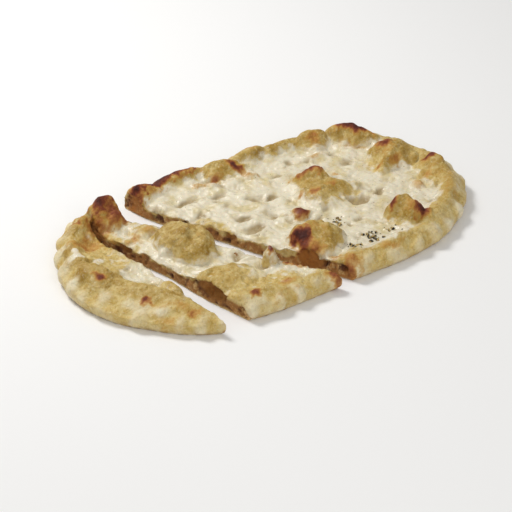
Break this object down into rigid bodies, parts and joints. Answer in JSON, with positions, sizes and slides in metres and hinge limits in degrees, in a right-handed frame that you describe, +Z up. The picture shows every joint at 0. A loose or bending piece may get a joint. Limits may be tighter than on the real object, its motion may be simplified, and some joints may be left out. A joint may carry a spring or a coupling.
{
  "type": "focaccia",
  "caption": "Oval hand-stretched flatbread with a puffed, blistered rim and baked-on melted cheese, sliced across at one end with the slices drawn apart, cracked pepper on top.",
  "frame": {"origin": "centre of the spread slices' bounding box, on the surface they lie on", "axes": "+X along the loaf towards its uncut end, +Y across the loaf towards its back edge, +Z up"},
  "size_m": [0.3362, 0.192, 0.0297],
  "materials": {
    "baked_dough_and_cheese": null,
    "cracked_pepper": "dull dark flakes of crushed peppercorn"
  },
  "bodies": {
    "root": {"large_piece": "baked_dough_and_cheese", "wedge_slice": "baked_dough_and_cheese", "end_slice": "baked_dough_and_cheese", "pepper_flake_01": "cracked_pepper", "pepper_flake_02": "cracked_pepper", "pepper_flake_03": "cracked_pepper", "pepper_flake_04": "cracked_pepper", "pepper_flake_05": "cracked_pepper", "pepper_flake_06": "cracked_pepper", "pepper_flake_07": "cracked_pepper", "pepper_flake_08": "cracked_pepper", "pepper_flake_09": "cracked_pepper", "pepper_flake_10": "cracked_pepper", "pepper_flake_11": "cracked_pepper", "pepper_flake_12": "cracked_pepper", "pepper_flake_13": "cracked_pepper", "pepper_flake_14": "cracked_pepper", "pepper_flake_15": "cracked_pepper", "pepper_flake_16": "cracked_pepper", "pepper_flake_17": "cracked_pepper", "pepper_flake_18": "cracked_pepper", "pepper_flake_19": "cracked_pepper", "pepper_flake_20": "cracked_pepper"}
  },
  "joints": []
}
